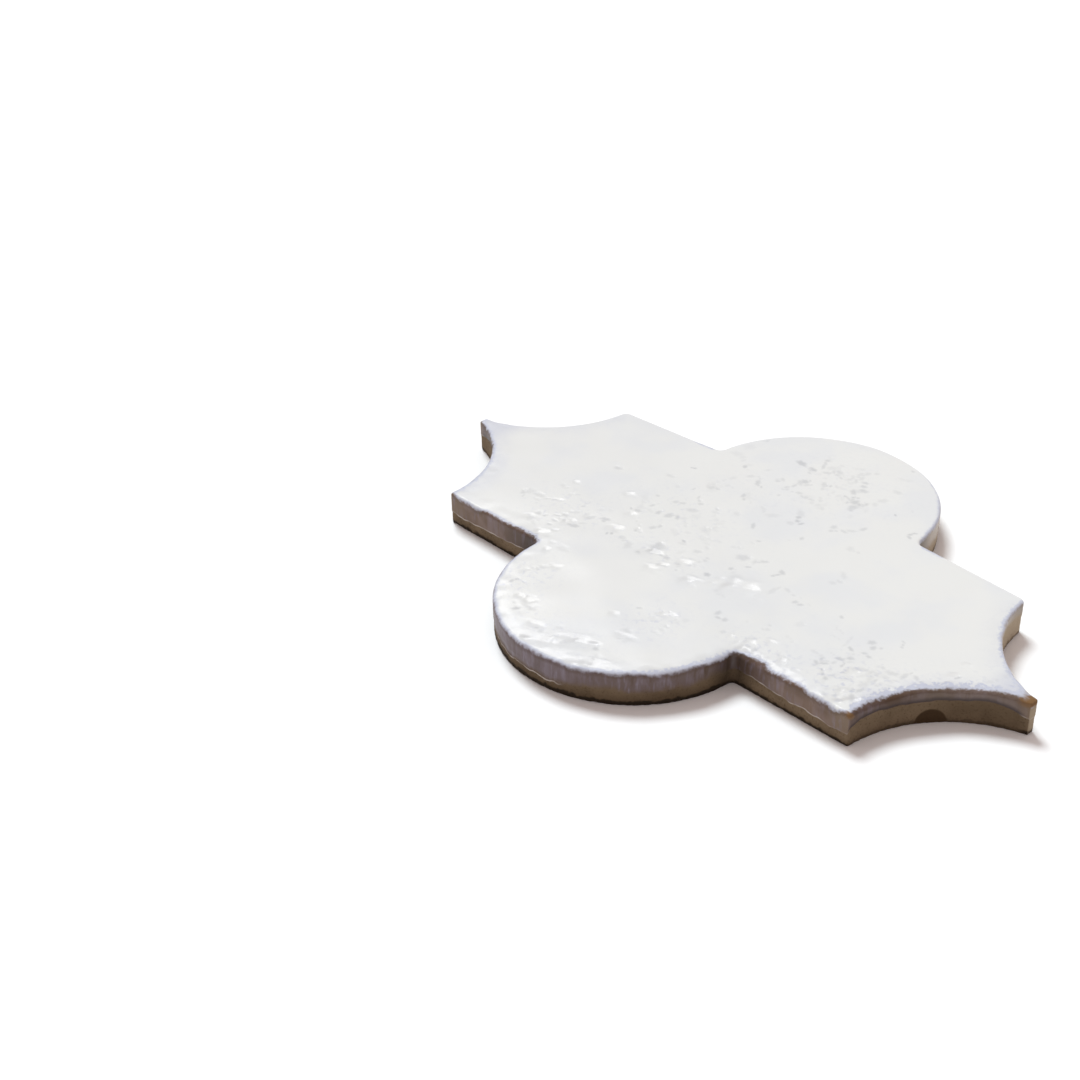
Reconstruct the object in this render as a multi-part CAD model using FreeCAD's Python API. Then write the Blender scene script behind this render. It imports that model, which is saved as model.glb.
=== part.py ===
"""Arabesque wall tile: pressed from one slab of stoneware, glazed and fired as a single piece.

In plan the tile is a straight neck with a half-round lobe on each side and a horned end at each tip.
The hollow beside each tip has the radius of a lobe, so a neighbour's lobe closes it and the tile
covers a wall by repeating itself.

X runs from tip to tip, Y from lobe to lobe and Z up from the bedding face.
The origin is on the bedding face, under the middle of the tile. All sizes are in millimetres.
"""

import FreeCAD, Part
import math
import os

# Plan of the tile
LOBE_RADIUS = 38.0       # side lobes, the hollows that take them, and half the width of the neck
SHOULDER_LENGTH = 39.0   # straight edge between a lobe and an end corner
TIP_WIDTH = 2.6          # blunt end of each tip, where the two hollows would meet in a knife edge

# Section of the tile
THICKNESS = 10.5         # bedding face to glazed face
ARRIS_RADIUS = 1.0       # glaze rolled over the edge of the face
FOOT_CHAMFER = 0.4       # sharp lower edge taken off before firing

# Upright corners, as they show on the flat of the face inside the arris
FACE_CORNER_RADIUS = 0.6  # end corners, pointing outwards
FACE_TIP_RADIUS = 0.15    # the two corners of a blunt tip
NOTCH_RADIUS = 1.5        # inside corner between lobe and shoulder, where glaze pools

# The arris keeps this share of the tip's width, so that some flat face is left between its two sides
ARRIS_LIMIT = 0.39

NODE = "arabesque_tile"
PARTS_FOLDER = "parts"
UP = FreeCAD.Vector(0, 0, 1)
ORIGIN = FreeCAD.Vector(0, 0, 0)
TOLERANCE = 1e-6

# Worked out from the sizes above
arris = min(ARRIS_RADIUS, ARRIS_LIMIT * TIP_WIDTH)
neck_y = LOBE_RADIUS
notch_x = LOBE_RADIUS
corner_x = notch_x + SHOULDER_LENGTH
cusp_x = corner_x + LOBE_RADIUS
tip_y = TIP_WIDTH / 2
tip_x = cusp_x - math.sqrt(LOBE_RADIUS ** 2 - (neck_y - tip_y) ** 2)


def point(x, y):
    """A point on the bedding face."""
    return FreeCAD.Vector(x, y, 0)


def line(start, end):
    return Part.LineSegment(start, end).toShape()


def arc(start, middle, end):
    return Part.Arc(start, middle, end).toShape()


def hollow_middle(end):
    """A point half way round the hollow of the right-hand (1) or left-hand (-1) end."""
    half_turn = math.asin((neck_y - tip_y) / LOBE_RADIUS) / 2
    x = cusp_x - LOBE_RADIUS * math.cos(half_turn)
    return point(end * x, neck_y - LOBE_RADIUS * math.sin(half_turn))


def far_half():
    """Edges from the right-hand tip over the far lobe to the left-hand tip."""
    right_tip = point(tip_x, tip_y)
    right_corner = point(corner_x, neck_y)
    right_notch = point(notch_x, neck_y)
    left_notch = point(-notch_x, neck_y)
    left_corner = point(-corner_x, neck_y)
    left_tip = point(-tip_x, tip_y)
    lobe_top = point(0, neck_y + LOBE_RADIUS)
    return [
        line(point(tip_x, -tip_y), right_tip),
        arc(right_tip, hollow_middle(1), right_corner),
        line(right_corner, right_notch),
        arc(right_notch, lobe_top, left_notch),
        line(left_notch, left_corner),
        arc(left_corner, hollow_middle(-1), left_tip),
    ]


def outline():
    """The whole outline: the far half, and the same half turned round for the near side."""
    edges = far_half()
    for edge in far_half():
        edge.rotate(ORIGIN, UP, 180)
        edges.append(edge)
    return Part.Wire(Part.__sortEdges__(edges))


def upright_edges(solid, x, y):
    """The four upright edges that stand at (x, y) and its mirror images."""
    found = []
    for edge in solid.Edges:
        low, high = edge.BoundBox.ZMin, edge.BoundBox.ZMax
        middle = edge.CenterOfMass
        at_place = abs(abs(middle.x) - x) < TOLERANCE and abs(abs(middle.y) - y) < TOLERANCE
        if high - low > THICKNESS / 2 and at_place:
            found.append(edge)
    return found


def edges_at(solid, height):
    """All edges that lie level at this height."""
    return [
        edge for edge in solid.Edges
        if abs(edge.BoundBox.ZMin - height) < TOLERANCE and abs(edge.BoundBox.ZMax - height) < TOLERANCE
    ]


def tile():
    """The slab cut to the outline, its upright corners eased, its face rolled and its foot chamfered."""
    body = Part.Face(outline()).extrude(UP * THICKNESS)
    body = body.makeFillet(arris + FACE_CORNER_RADIUS, upright_edges(body, corner_x, neck_y))
    body = body.makeFillet(arris + FACE_TIP_RADIUS, upright_edges(body, tip_x, tip_y))
    body = body.makeFillet(NOTCH_RADIUS, upright_edges(body, notch_x, neck_y))
    body = body.makeFillet(arris, edges_at(body, THICKNESS))
    return body.makeChamfer(FOOT_CHAMFER, edges_at(body, 0))


def main():
    os.makedirs(PARTS_FOLDER, exist_ok=True)
    solid = tile()
    box = solid.optimalBoundingBox(False, False)
    print(f"{NODE}: {box.XLength:.2f} x {box.YLength:.2f} x {box.ZLength:.2f} mm,"
          f" {solid.Volume / 1000:.1f} cm3, {len(solid.Solids)} solid, valid {solid.isValid()}")
    solid.exportStep(os.path.join(PARTS_FOLDER, NODE + ".step"))


if __name__ == "__main__":
    main()
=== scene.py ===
"""Arabesque tile: one white-glazed stoneware tile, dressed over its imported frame.

The face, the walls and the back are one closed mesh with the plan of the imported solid. Its glaze rolls
over the edge, thins to clay on the walls and is pitted in patches. All lengths are in metres.
"""

import math

import bpy
import numpy as np
from bpy.props import FloatProperty, FloatVectorProperty, IntProperty, PointerProperty
from mathutils import Matrix, Vector
from mathutils.geometry import delaunay_2d_cdt
from mathutils.kdtree import KDTree


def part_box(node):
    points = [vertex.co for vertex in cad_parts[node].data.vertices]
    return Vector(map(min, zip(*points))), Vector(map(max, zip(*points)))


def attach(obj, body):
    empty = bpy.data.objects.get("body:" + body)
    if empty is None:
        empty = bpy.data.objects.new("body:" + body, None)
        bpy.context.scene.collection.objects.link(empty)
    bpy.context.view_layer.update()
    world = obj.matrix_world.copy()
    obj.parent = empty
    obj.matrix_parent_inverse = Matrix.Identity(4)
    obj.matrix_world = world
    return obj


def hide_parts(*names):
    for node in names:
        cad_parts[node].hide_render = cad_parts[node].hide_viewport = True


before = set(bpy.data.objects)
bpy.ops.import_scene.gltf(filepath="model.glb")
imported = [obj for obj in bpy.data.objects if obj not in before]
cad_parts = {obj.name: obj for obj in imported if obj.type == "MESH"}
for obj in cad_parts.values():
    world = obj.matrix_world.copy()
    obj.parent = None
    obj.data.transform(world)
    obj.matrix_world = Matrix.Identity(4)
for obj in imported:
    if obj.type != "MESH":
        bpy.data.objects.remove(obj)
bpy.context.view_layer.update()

bl_info = {
    "name": "Arabesque tile",
    "version": (1, 0, 0),
    "blender": (4, 5, 0),
    "location": "3D View > Sidebar > Arabesque tile",
    "description": "Builds one white-glazed arabesque tile and the stage it lies on",
    "category": "Add Mesh",
}

MM = 0.001
NODE = "arabesque_tile"
BODY = "root"

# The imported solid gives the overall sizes, and the plan follows from them
LOW, HIGH = (Vector(corner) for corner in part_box(NODE))
LENGTH, WIDTH, THICKNESS = HIGH - LOW
LOBE_RADIUS = WIDTH / 4
TIP_WIDTH = 2.6 * MM
CUSP_X = LENGTH / 2 + math.sqrt(LOBE_RADIUS ** 2 - (LOBE_RADIUS - TIP_WIDTH / 2) ** 2)

# Steps of the mesh
WALL_STEP = 0.46 * MM     # along the outline
FACE_STEP = 0.4 * MM      # on the face beside marks and edges, and half as fine elsewhere
FINE_MARGIN = 4.0 * MM    # how far in from the edge the face keeps its fine step
BACK_STEP = 5.0 * MM      # on the bedding face
OUTLINE_STEP = 0.04 * MM  # for measuring how far a point is from the edge
FOOT_ROWS = 3             # from the ground to the top of the chamfer
WALL_ROWS = 16
ARRIS_ROWS = 5

# Roughness of the mesh on the wall and at the foot
WALL_ROUGHNESS = 0.05 * MM
FOOT_ROUGHNESS = 0.12 * MM

# Names of the values kept on the mesh for its materials, lengths in metres
EDGE = "edge"        # way over the arris and the face from the top of the wall, negative down the wall
ABOVE = "above"      # height above the lower edge of the glaze
NOTCH = "notch"      # way along the outline from the middle of a notch, negative on the shoulder
HOLLOW = "hollow"    # 1 on the walls of the hollows
PIT = "pit"          # how dark a speck is, or the painted shade on the brow of a dent
MOTTLE = "mottle"    # how mottled the glaze is
WORN = "worn"        # corners where the glaze has burned away to amber
FINGER = "finger"    # way out from the middle of the finger mark, 1 at its edge
FAR_AWAY = 1.0       # for points where such a value has no meaning

# The map for textures: the face at full size, the back at half size, and the wall cut into strips
MAP_NAME = "OFBake"
MAP_SIDE = 236.0 * MM
MAP_GAP = 2.0 * MM
BACK_SCALE = 0.5
WALL_STRIPS = 6
ROW_GAP = 0.1 * MM  # set between the wall's rows, so that none is flat on the map

# Patches of marks on the face in mm: middle x and y, spread along x and y, number of specks,
# their mean length, number of small dents, how mottled the patch is
PATCHES = {
    "far lobe": (2.0, 49.0, 16.0, 13.0, 80, 2.2, 0, 0.25),
    "far of middle": (-10.0, 28.0, 15.0, 9.0, 24, 2.3, 0, 0.2),
    "left of middle": (-19.0, 3.0, 14.0, 9.0, 30, 2.4, 2, 0.4),
    "left end": (-45.0, -20.0, 9.0, 8.0, 26, 2.2, 4, 0.6),
    "middle row": (-10.0, -17.0, 17.0, 4.0, 20, 2.2, 2, 0.5),
    "middle": (6.0, -6.0, 13.0, 8.0, 12, 2.0, 0, 0.1),
    "near lobe": (14.0, -43.0, 5.0, 6.0, 14, 2.0, 1, 0.8),
    "near lobe, left": (-27.0, -56.0, 6.0, 8.0, 8, 2.0, 2, 0.9),
    "near edge": (0.0, -66.0, 14.0, 5.0, 8, 2.2, 1, 0.5),
    "near right corner": (68.0, -27.0, 8.0, 7.0, 50, 2.0, 9, 1.0),
    "near notch": (45.0, -33.0, 8.0, 4.0, 18, 2.0, 6, 0.9),
    "near hollow": (84.0, -18.0, 7.0, 7.0, 14, 1.8, 2, 0.6),
    "right of middle": (50.0, -11.0, 9.0, 6.0, 12, 1.8, 0, 0.1),
    "right end": (95.0, -2.0, 6.0, 4.0, 8, 1.6, 1, 0.4),
}

# Larger dents that catch the light, in mm: middle x and y, length, width
DENTS = {
    "left notch, far": (-40.3, -23.4, 4.2, 1.8),
    "left notch": (-40.8, -33.0, 4.6, 2.4),
    "left notch, near": (-32.7, -38.5, 2.4, 1.6),
    "row, far left": (-28.0, -16.1, 4.0, 2.0),
    "row, left": (-11.9, -18.0, 4.2, 2.6),
    "row, left, near": (-5.3, -23.9, 6.2, 2.0),
    "row, far middle": (-0.3, -15.2, 4.4, 2.0),
    "row, right": (6.3, -21.2, 5.6, 2.4),
    "row, far right": (17.6, -13.3, 10.0, 4.4),
    "lobe, left edge": (-16.8, -60.2, 3.6, 2.0),
    "lobe, left edge, far": (-20.5, -60.3, 2.2, 1.4),
    "lobe, thin ripple": (-8.2, -66.7, 5.6, 1.6),
    "lobe, left ripple": (-3.3, -71.4, 12.0, 3.0),
    "lobe, long ripple": (6.1, -63.5, 9.4, 3.0),
    "lobe, right ripple": (16.1, -68.8, 9.0, 2.8),
    "lobe, lone": (12.3, -53.6, 3.6, 1.4),
    "lobe, cluster": (14.3, -38.0, 3.4, 1.8),
    "notch": (39.9, -35.6, 4.6, 2.6),
    "corner": (70.8, -32.6, 5.0, 3.4),
    "corner, far": (65.6, -23.1, 3.2, 2.2),
}
DENT_LONGER, DENT_WIDER = 1.45, 1.35  # a dent's slopes reach past the part that gleams
DENT_TURN = 0.45                      # mean turn of the dents from the x axis, in radians
SMALL_DENT = (2.4, 5.0)               # least and greatest length of a small dent in mm
SPECK_REACH = 1.4                     # how far a speck's ragged edge goes, in half lengths

# The glaze's lower edge on the wall: stretch of the outline, place along it, share of the thickness
GLAZE_LINE = {
    "tip": ("tip", 0.0, 0.48),
    "hollow beside the tip": ("hollow", 0.18, 0.65),
    "hollow": ("hollow", 0.5, 0.69),
    "hollow far from the tip": ("hollow", 0.8, 0.67),
    "hollow beside the corner": ("hollow", 0.94, 0.63),
    "corner, on the hollow": ("corner", 0.35, 0.55),
    "corner, on the shoulder": ("corner", 0.65, 0.37),
    "shoulder beside the corner": ("shoulder", 0.1, 0.35),
    "shoulder": ("shoulder", 0.6, 0.40),
    "notch": ("notch", 0.5, 0.50),
    "lobe beside the notch": ("lobe", 0.25, 0.37),
    "lobe side": ("lobe", 0.5, 0.45),
    "lobe": ("lobe", 0.87, 0.46),
    "lobe top": ("lobe", 1.0, 0.46),
}

# Amber on the right-hand tip and on the near right corner, and the finger mark in the near right hollow
TIP_WEAR = 5.0 * MM
CORNER_WEAR = 2.1 * MM
WEAR_DROP = 0.8 * MM               # how far below the face the amber has its middle
WEAR_RAGGEDNESS = 0.5 * MM
FINGER_TURN = math.radians(142.3)  # middle of the finger mark, as an angle round the hollow
FINGER_HALF_WIDTH = 4.3 * MM
FINGER_HEIGHT = 4.4 * MM
HOLLOW_WALL = 1.2 * MM             # points this near to the hollow's arc are on its wall

# Glaze and clay
TIP_FACE = (104.7, 105.0)       # where the blunt end of the right-hand tip begins along x, in mm
RUN_STRETCH = (1.0, 1.0, 0.22)  # draws the runs on the wall out upwards
GLAZE_ROUGHNESS = 0.6           # of the glaze under its clear coat
CLAY_ROUGHNESS = 0.85


def metres(name, description, default):
    """A length in metres that a user can set."""
    return FloatProperty(name=name, description=description, default=default, unit="LENGTH", precision=5)


def degrees(name, description, turn):
    """An angle in degrees that a user can set."""
    return FloatProperty(name=name, description=description, default=math.radians(turn), subtype="ANGLE")


def plain_number(name, description, default):
    """A plain number that a user can set."""
    return FloatProperty(name=name, description=description, default=default)


def tint(name, description, *shade):
    """An opaque colour that a user can set."""
    return FloatVectorProperty(
        name=name, description=description, default=(*shade, 1), subtype="COLOR", size=4, min=0, max=1)


class TileSizes(bpy.types.PropertyGroup):
    """Sizes of the tile that its maker would set."""

    lobe_radius: metres(
        "Lobe radius", "Radius of the side lobes and of the hollows that take them", LOBE_RADIUS)
    shoulder_length: metres(
        "Shoulder length", "Straight edge between a lobe and an end corner", CUSP_X - 2 * LOBE_RADIUS)
    tip_width: metres("Tip width", "Blunt end of each tip", TIP_WIDTH)
    thickness: metres("Thickness", "Bedding face to glazed face", THICKNESS)
    corner_radius: metres("Near corner radius", "Rounding of the near end corners in plan", 1.1 * MM)
    far_corner_radius: metres("Far corner radius", "Rounding of the far end corners in plan", 2.6 * MM)
    far_corner_drop: metres(
        "Far corner drop", "How far the far end corners have been pressed in", 1.0 * MM)
    far_shoulder_rise: metres(
        "Far shoulder rise", "How far the far shoulders rise from corner to notch", 2.6 * MM)
    tip_radius: metres("Tip radius", "Rounding of the two corners of a tip in plan", 0.4 * MM)
    notch_radius: metres(
        "Near notch radius", "Rounding between near lobe and near shoulder in plan", 1.5 * MM)
    far_notch_radius: metres(
        "Far notch radius", "Rounding between far lobe and far shoulder in plan", 2.4 * MM)
    arris_width: metres("Arris width", "Width of the rounded edge, seen from above", 0.9 * MM)
    arris_depth: metres("Arris depth", "How far down the wall the rounded edge reaches", 0.8 * MM)
    fall_width: metres("Fall width", "How far in from the edge the face starts to fall", 4.2 * MM)
    fall_depth: metres("Fall depth", "How far the face has fallen at the near edge", 0.7 * MM)
    foot_chamfer: metres("Foot chamfer", "Lower edge taken off before firing", 0.25 * MM)
    glaze_build: metres(
        "Glaze build", "How far the glaze stands proud of the bare clay on the wall", 0.16 * MM)


class GlazeFinish(bpy.types.PropertyGroup):
    """Colours and unevenness of the glaze and the clay."""

    white: tint("White", "Full coat of glaze, warm patches", 0.692, 0.698, 0.682)
    cool_white: tint("Cool white", "Full coat of glaze, cool patches", 0.665, 0.677, 0.681)
    fringe: tint("Fringe", "Thinning glaze at the edge", 0.48, 0.50, 0.58)
    mauve: tint("Mauve", "Thin glaze over clay on the wall", 0.126, 0.088, 0.081)
    burnt: tint("Burnt edge", "Thinnest glaze, where it breaks to brown", 0.078, 0.044, 0.026)
    streak: tint("Streak", "Runs of pale glaze down the wall", 0.23, 0.195, 0.245)
    russet: tint("Russet", "Warmer coat on the shoulders", 0.36, 0.25, 0.185)
    violet: tint("Violet", "Dark glaze in the hollows and notches", 0.042, 0.027, 0.026)
    bead: tint("Bead", "Pale line at the lower edge of the glaze", 0.50, 0.44, 0.40)
    clay: tint("Clay", "Bare fired clay", 0.185, 0.133, 0.083)
    dark_clay: tint("Dark clay", "Dark grains of the clay", 0.070, 0.045, 0.024)
    # painted light: a lit copy of the clay, for the far walls and the blunt end of the right-hand tip
    pale_clay: tint("Pale clay", "Clay of the far walls", 0.40, 0.325, 0.235)
    # partly painted light: a lit copy of the coat on the far walls, partly their thicker glaze
    pale_coat: tint("Pale coat", "Thicker glaze of the far walls", 0.45, 0.39, 0.33)
    # painted shade: the foot colour also paints the contact shadow at the foot and the shade beside the
    # notches
    foot: tint("Foot", "Scorched lower edge", 0.022, 0.014, 0.008)
    amber: tint("Amber", "Worn corners", 0.175, 0.094, 0.036)
    finger: tint("Finger mark", "Bare mark on the wall of a hollow", 0.048, 0.027, 0.012)
    # also paints shade: on the dents' brows and towards the near left of the face
    pit_shade: tint("Pit shade", "Glaze in the specks", 0.28, 0.295, 0.32)
    speck_depth: metres("Speck depth", "Mean depth of a speck in the face", 0.035 * MM)
    dent_slope: plain_number("Dent slope", "Depth of a dent as a share of its width", 0.088)
    wave_height: metres("Wave height", "Slow unevenness of the face", 0.08 * MM)
    seed: IntProperty(name="Seed", description="Changes where the marks fall", default=7)


class StageSetup(bpy.types.PropertyGroup):
    """Camera, light and floor."""

    azimuth: degrees("Azimuth", "Camera's turn round the tile from its near side", 47.855)
    elevation: degrees("Elevation", "Camera's height above the floor as an angle", 31.474)
    roll: degrees("Roll", "Camera's tilt about its own line of sight", -0.958)
    target: FloatVectorProperty(
        name="Target", description="Point in the middle of the picture",
        default=(-49.84 * MM, -26.21 * MM, 0.5 * MM), subtype="TRANSLATION")
    distance: metres("Distance", "Camera to target", 553.1 * MM)
    lens: plain_number("Lens", "Focal length in millimetres", 61.88)
    light_azimuth: degrees("Light azimuth", "Direction that the soft light comes from", 160.0)
    light_elevation: degrees("Light elevation", "Height of the soft light above the floor", 56.0)
    light_spread: degrees("Light spread", "Apparent width of the soft light", 22.0)
    light_colour: tint("Light colour", "Colour of the soft light", 0.87, 0.965, 1.0)
    light_strength: plain_number("Light strength", "Soft light's power", 2.9)
    sheen_azimuth: degrees("Sheen azimuth", "Direction of the panel that shines in the glaze", 147.75)
    sheen_elevation: degrees("Sheen elevation", "Height of that panel above the floor", 42.7)
    sheen_spread: degrees("Sheen spread", "Apparent width of that panel", 22.0)
    sheen_strength: plain_number("Sheen strength", "Power of that panel", 0.42)
    room_colour: tint("Room colour", "Colour of the room's light", 1.0, 0.867, 0.833)
    room_strength: plain_number("Room strength", "Light from the pale room", 0.585)
    backdrop_colour: tint("Backdrop colour", "What the camera sees past the floor", 1.0, 1.0, 1.0)
    floor_size: metres("Floor size", "Side of the square floor", 12.0)
    floor_colour: tint("Floor colour", "Plain pale floor", 0.9, 0.9, 0.9)


def waves(points, length, seed, count=24):
    """A smooth random field of about this wavelength, mostly from -1 to 1, as a sum of plane waves."""
    draw = np.random.default_rng(seed)
    turn = draw.uniform(0, 2 * math.pi, count)
    phase = draw.uniform(0, 2 * math.pi, count)
    stretch = draw.uniform(0.7, 1.4, count)
    field = np.zeros(len(points))
    for angle, start, longer in zip(turn, phase, stretch):
        along = points[:, 0] * math.cos(angle) + points[:, 1] * math.sin(angle)
        field += np.sin(along * 2 * math.pi / (length * longer) + start)
    return field / math.sqrt(count)


def smooth(low, high, value):
    """0 below low, 1 above high and a smooth step between them."""
    share = np.clip((value - low) / (high - low), 0, 1)
    return share * share * (3 - 2 * share)


def arc(centre, radius, start, end):
    """Points of an arc between two angles, about OUTLINE_STEP apart."""
    count = max(2, math.ceil(radius * abs(end - start) / OUTLINE_STEP))
    angle = np.linspace(start, end, count)
    return np.c_[centre[0] + radius * np.cos(angle), centre[1] + radius * np.sin(angle)]


def angle_from(centre, point):
    return math.atan2(point[1] - centre[1], point[0] - centre[0])


def last_at(start, heading, centre, reach):
    """The point on a line, from its start onwards, where it comes within reach of a centre."""
    away = start - centre
    middle = -away @ heading
    return start + heading * (middle - math.sqrt(middle ** 2 - away @ away + reach ** 2))


class Plan:
    """The tile's outline: one quarter of lines and arcs for its far half and one for its near half."""

    def __init__(self, sizes):
        self.lobe = sizes.lobe_radius
        self.neck_y = self.lobe
        self.notch_x = self.lobe
        self.corner_x = self.notch_x + sizes.shoulder_length
        self.hollow = np.array((self.corner_x + self.lobe, self.neck_y))
        half_tip = sizes.tip_width / 2
        self.tip_x = self.hollow[0] - math.sqrt(self.lobe ** 2 - (self.neck_y - half_tip) ** 2)
        self.half_size = np.array((self.tip_x, self.neck_y + self.lobe))
        far = self.half(self.quarter(sizes.far_corner_radius, sizes.tip_radius, sizes.far_notch_radius,
                                     sizes.far_corner_drop, sizes.far_shoulder_rise))
        near = self.half(self.quarter(sizes.corner_radius, sizes.tip_radius, sizes.notch_radius, 0.0, 0.0))
        near[:, :2] *= -1
        x, y, self.line, self.notch, self.in_hollow = np.concatenate((far, near[1:-1])).T
        self.fine = np.c_[x, y]
        along = np.roll(self.fine, -1, axis=0) - np.roll(self.fine, 1, axis=0)
        along /= np.hypot(*along.T)[:, None]
        self.outward = np.c_[along[:, 1], -along[:, 0]]
        self.tree = KDTree(len(self.fine))
        for index, (x, y) in enumerate(self.fine):
            self.tree.insert((x, y, 0), index)
        self.tree.balance()

    def quarter(self, corner_radius, tip_radius, notch_radius, drop, rise):
        """Stretches from the middle of the right-hand tip to the top of the far lobe, by name.

        The shoulder starts lower than the neck by the drop, and rises to the notch.
        """
        lobe = np.array((0.0, self.neck_y))
        start = np.array((self.corner_x, self.neck_y - drop))
        slope = math.atan2(rise, self.corner_x - self.notch_x)
        heading = np.array((-math.cos(slope), math.sin(slope)))
        above = np.array((math.sin(slope), math.cos(slope)))
        corner = last_at(start - corner_radius * above, -heading, self.hollow, self.lobe + corner_radius)
        notch = last_at(start + notch_radius * above, heading, lobe, self.lobe + notch_radius)
        reach = self.lobe + tip_radius
        tip_centre_x = self.tip_x - tip_radius
        fall = math.sqrt(reach ** 2 - (self.hollow[0] - tip_centre_x) ** 2)
        tip = np.array((tip_centre_x, self.neck_y - fall))
        hollow_start = angle_from(self.hollow, tip) + 2 * math.pi
        hollow_end = angle_from(self.hollow, corner) + 2 * math.pi
        shoulder = np.array((corner + corner_radius * above, notch - notch_radius * above))
        up = math.pi / 2 - slope
        return {
            "tip": np.array(((self.tip_x, 0.0), (self.tip_x, tip[1]))),
            "tip corner": arc(tip, tip_radius, 0.0, angle_from(tip, self.hollow)),
            "hollow": arc(self.hollow, self.lobe, hollow_start, hollow_end),
            "corner": arc(corner, corner_radius, angle_from(corner, self.hollow), up),
            "shoulder": shoulder,
            "notch": arc(notch, notch_radius, up - math.pi, angle_from(notch, lobe)),
            "lobe": arc(lobe, self.lobe, angle_from(lobe, notch), math.pi / 2),
        }

    def half(self, quarter):
        """One half from tip to tip: x, y, share of the glaze line, way from the notch, 1 in hollows."""
        ends, run = {}, 0.0
        for name, path in quarter.items():
            length = np.hypot(*np.diff(path, axis=0).T).sum()
            ends[name] = (run, run + length)
            run += length
        path = evenly(np.concatenate(list(quarter.values())), OUTLINE_STEP)
        way = np.linspace(0, run, len(path))
        stops = []
        for name, place, share in GLAZE_LINE.values():
            stops.append((np.interp(place, (0, 1), ends[name]), share))
        line = np.interp(way, *zip(*stops))
        notch = way - np.mean(ends["notch"])
        start, end = ends["hollow"][0], np.mean(ends["corner"])
        in_hollow = smooth(start, start + 3 * MM, way) * smooth(end + 0.3 * MM, end - 0.3 * MM, way)
        right = np.c_[path, line, notch, in_hollow]
        return np.concatenate((right, right[::-1][1:] * (-1, 1, 1, 1, 1)))

    def nearest(self, points):
        """How far each point lies inside the outline, and the place of the nearest point on it."""
        found = [self.tree.find((x, y, 0)) for x, y in points]
        away = np.array([distance for _, _, distance in found])
        index = np.array([place for _, place, _ in found])
        outside = ((points - self.fine[index]) * self.outward[index]).sum(axis=1) > 0
        return np.where(outside, -away, away), index

    def covers(self, points):
        """True for the points that lie within the outline, its small roundings aside."""
        x, y = np.abs(points).T
        in_lobe = np.hypot(x, y - self.neck_y) <= self.lobe
        in_hollow = np.hypot(x - self.hollow[0], y - self.hollow[1]) <= self.lobe
        in_neck = (y <= self.neck_y) & (x <= self.tip_x) & ~in_hollow
        return in_lobe | in_neck


def evenly(path, step):
    """The path's points set out again at even distances of about this step."""
    run = np.concatenate(([0], np.cumsum(np.hypot(*np.diff(path, axis=0).T))))
    kept = np.concatenate(([True], np.diff(run) > 0))
    along = np.linspace(0, run[-1], max(2, round(run[-1] / step)) + 1)
    return np.c_[np.interp(along, run[kept], path[kept, 0]), np.interp(along, run[kept], path[kept, 1])]


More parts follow.
